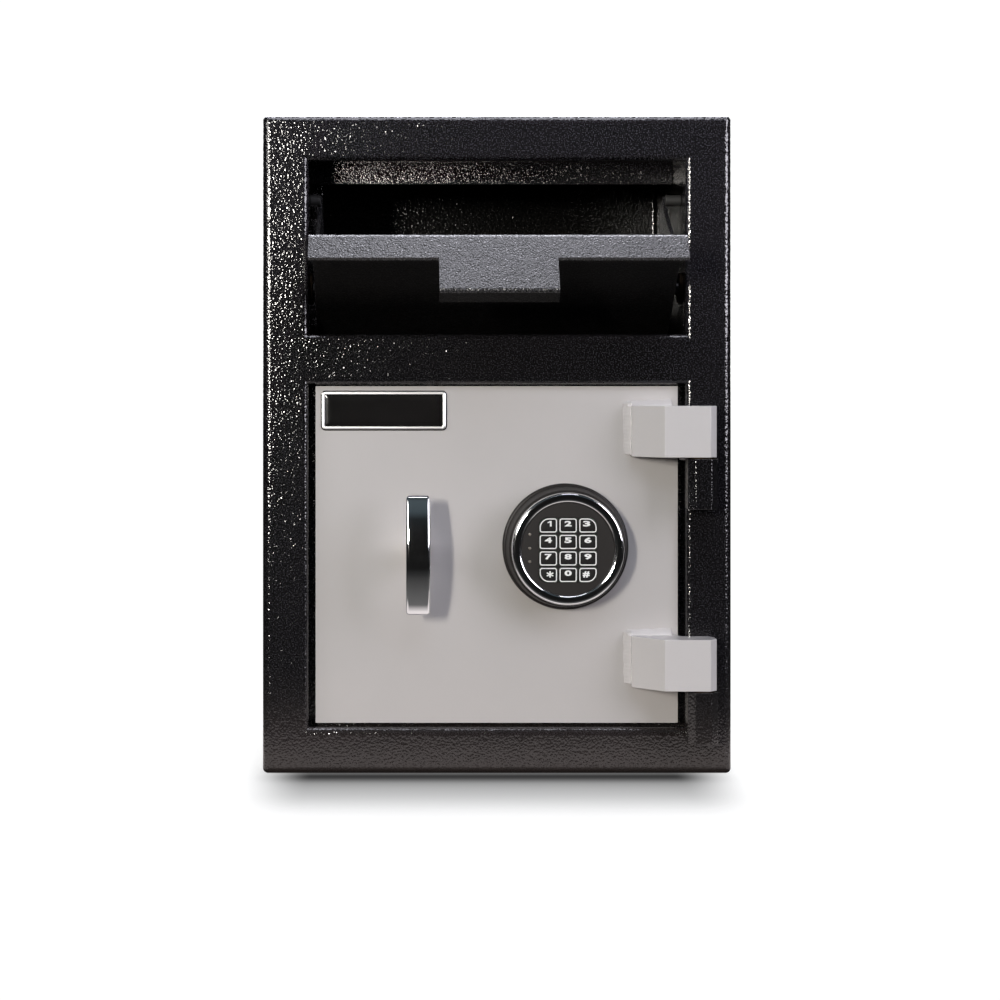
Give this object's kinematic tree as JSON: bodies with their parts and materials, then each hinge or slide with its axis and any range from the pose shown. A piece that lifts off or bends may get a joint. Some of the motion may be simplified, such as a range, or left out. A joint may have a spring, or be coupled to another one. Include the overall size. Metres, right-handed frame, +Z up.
{
  "type": "deposit safe",
  "caption": "Front-loading deposit safe: steel cabinet with a tilting hopper above and a hinged, bolted door with a turning handle and a round electronic keypad below.",
  "frame": {"origin": "centre of the anchor-hole pattern, on the underside of the cabinet's base", "axes": "+Z up along the cabinet's height, -Y out of the front, +X to the right seen from the front (the hinge side)"},
  "size_m": [0.358, 0.4475, 0.503],
  "materials": {
    "cabinet_paint": "black hammered powder coat",
    "hopper_paint": "blue-grey hammered paint",
    "door_paint": "warm light grey satin paint",
    "hinge_paint": "warm light grey semi-gloss paint",
    "nameplate": "black gloss, left blank",
    "chrome_trim": "bright chrome",
    "bright_steel": "zinc plated",
    "raw_steel": "mill finish",
    "bronze": "sintered bronze",
    "bumper_rubber": "matte",
    "keypad_black": "satin black",
    "keypad_face": "fine matte black",
    "key_plastic": "matte black with plain white numbers",
    "led_lens": "clear grey lens",
    "board_green": "green solder mask",
    "battery_case": "plain sleeve",
    "cable_jacket": "black jacket",
    "lock_zinc": "die-cast grey",
    "cover_paint": "dark grey paint",
    "black_screw": "black oxide"
  },
  "bodies": {
    "cabinet": {"body_shell": "cabinet_paint", "front_frame": "cabinet_paint", "back_panel": "cabinet_paint", "door_jamb": "cabinet_paint", "chamber_left_wall": "cabinet_paint", "chamber_right_wall": "cabinet_paint", "chamber_back_plate": "cabinet_paint", "chamber_crossbar": "cabinet_paint", "divider_shelf": "cabinet_paint", "pivot_bushings": "bronze", "hopper_bumpers": "bumper_rubber", "frame_knuckles": "cabinet_paint", "hinge_pins": "bright_steel", "hinge_washers": "bronze"},
    "hopper": {"hopper_panel": "hopper_paint", "hopper_side_left": "hopper_paint", "hopper_side_right": "hopper_paint", "hopper_floor": "hopper_paint", "hopper_pivot_pins": "bright_steel"},
    "door": {"door_plate": "door_paint", "hinge_straps": "hinge_paint", "strap_welds": "hinge_paint", "nameplate_blank": "nameplate", "keypad_base": "keypad_black", "keypad_ring": "chrome_trim", "keypad_face": "keypad_face", "status_leds": "led_lens", "keypad_board": "board_green", "keypad_battery": "battery_case", "keypad_screws": "bright_steel", "lock_cable": "cable_jacket", "lock_case": "lock_zinc", "lock_cover": "lock_zinc", "lock_motor": "bright_steel", "lock_screws": "bright_steel", "handle_bushing": "bronze", "bolt_guides": "raw_steel", "dead_bar": "raw_steel", "boltwork_cover": "cover_paint", "cover_screws": "bright_steel"},
    "handle": {"handle_bar": "chrome_trim", "handle_spindle": "bright_steel", "drive_arm": "raw_steel"},
    "bolt_carriage": {"carriage_bar": "raw_steel", "door_bolts": "chrome_trim", "bolt_screws": "black_screw"},
    "lock_slide": {"lock_bolt": "bronze"},
    "button_1": {"key_1": "key_plastic"},
    "button_2": {"key_2": "key_plastic"},
    "button_3": {"key_3": "key_plastic"},
    "button_4": {"key_4": "key_plastic"},
    "button_5": {"key_5": "key_plastic"},
    "button_6": {"key_6": "key_plastic"},
    "button_7": {"key_7": "key_plastic"},
    "button_8": {"key_8": "key_plastic"},
    "button_9": {"key_9": "key_plastic"},
    "button_star": {"key_star": "key_plastic"},
    "button_0": {"key_0": "key_plastic"},
    "button_hash": {"key_hash": "key_plastic"}
  },
  "joints": [
    {"name": "hopper_tilt", "type": "hinge", "parent": "cabinet", "child": "hopper", "pos_m": [-0.002, -0.151, 0.372], "axis": [1, 0, 0], "range_deg": [-55, 0]},
    {"name": "door_swing", "type": "hinge", "parent": "cabinet", "child": "door", "pos_m": [0.1535, -0.192, 0.15], "axis": [0, 0, 1], "range_deg": [0, 180]},
    {"name": "handle_turn", "type": "hinge", "parent": "door", "child": "handle", "pos_m": [-0.0603, -0.17, 0.169], "axis": [0, -1, 0], "range_deg": [0, 70]},
    {"name": "bolts_throw", "type": "slide", "parent": "door", "child": "bolt_carriage", "axis": [-1, 0, 0], "range_m": [0, 0.01996]},
    {"name": "lock_bolt_slide", "type": "slide", "parent": "door", "child": "lock_slide", "axis": [0, 0, -1], "range_m": [0, 0.012]},
    {"name": "press_1", "type": "slide", "parent": "door", "child": "button_1", "axis": [0, 1, 0], "range_m": [0, 0.001], "stiffness_N_per_m": 400},
    {"name": "press_2", "type": "slide", "parent": "door", "child": "button_2", "axis": [0, 1, 0], "range_m": [0, 0.001], "stiffness_N_per_m": 400},
    {"name": "press_3", "type": "slide", "parent": "door", "child": "button_3", "axis": [0, 1, 0], "range_m": [0, 0.001], "stiffness_N_per_m": 400},
    {"name": "press_4", "type": "slide", "parent": "door", "child": "button_4", "axis": [0, 1, 0], "range_m": [0, 0.001], "stiffness_N_per_m": 400},
    {"name": "press_5", "type": "slide", "parent": "door", "child": "button_5", "axis": [0, 1, 0], "range_m": [0, 0.001], "stiffness_N_per_m": 400},
    {"name": "press_6", "type": "slide", "parent": "door", "child": "button_6", "axis": [0, 1, 0], "range_m": [0, 0.001], "stiffness_N_per_m": 400},
    {"name": "press_7", "type": "slide", "parent": "door", "child": "button_7", "axis": [0, 1, 0], "range_m": [0, 0.001], "stiffness_N_per_m": 400},
    {"name": "press_8", "type": "slide", "parent": "door", "child": "button_8", "axis": [0, 1, 0], "range_m": [0, 0.001], "stiffness_N_per_m": 400},
    {"name": "press_9", "type": "slide", "parent": "door", "child": "button_9", "axis": [0, 1, 0], "range_m": [0, 0.001], "stiffness_N_per_m": 400},
    {"name": "press_star", "type": "slide", "parent": "door", "child": "button_star", "axis": [0, 1, 0], "range_m": [0, 0.001], "stiffness_N_per_m": 400},
    {"name": "press_0", "type": "slide", "parent": "door", "child": "button_0", "axis": [0, 1, 0], "range_m": [0, 0.001], "stiffness_N_per_m": 400},
    {"name": "press_hash", "type": "slide", "parent": "door", "child": "button_hash", "axis": [0, 1, 0], "range_m": [0, 0.001], "stiffness_N_per_m": 400}
  ],
  "couplings": [
    {"joint": "handle_turn", "follows": "bolts_throw", "rad_per_m": 61.208},
    {"joint": "lock_bolt_slide", "follows": "bolts_throw", "ratio": 0.6}
  ]
}
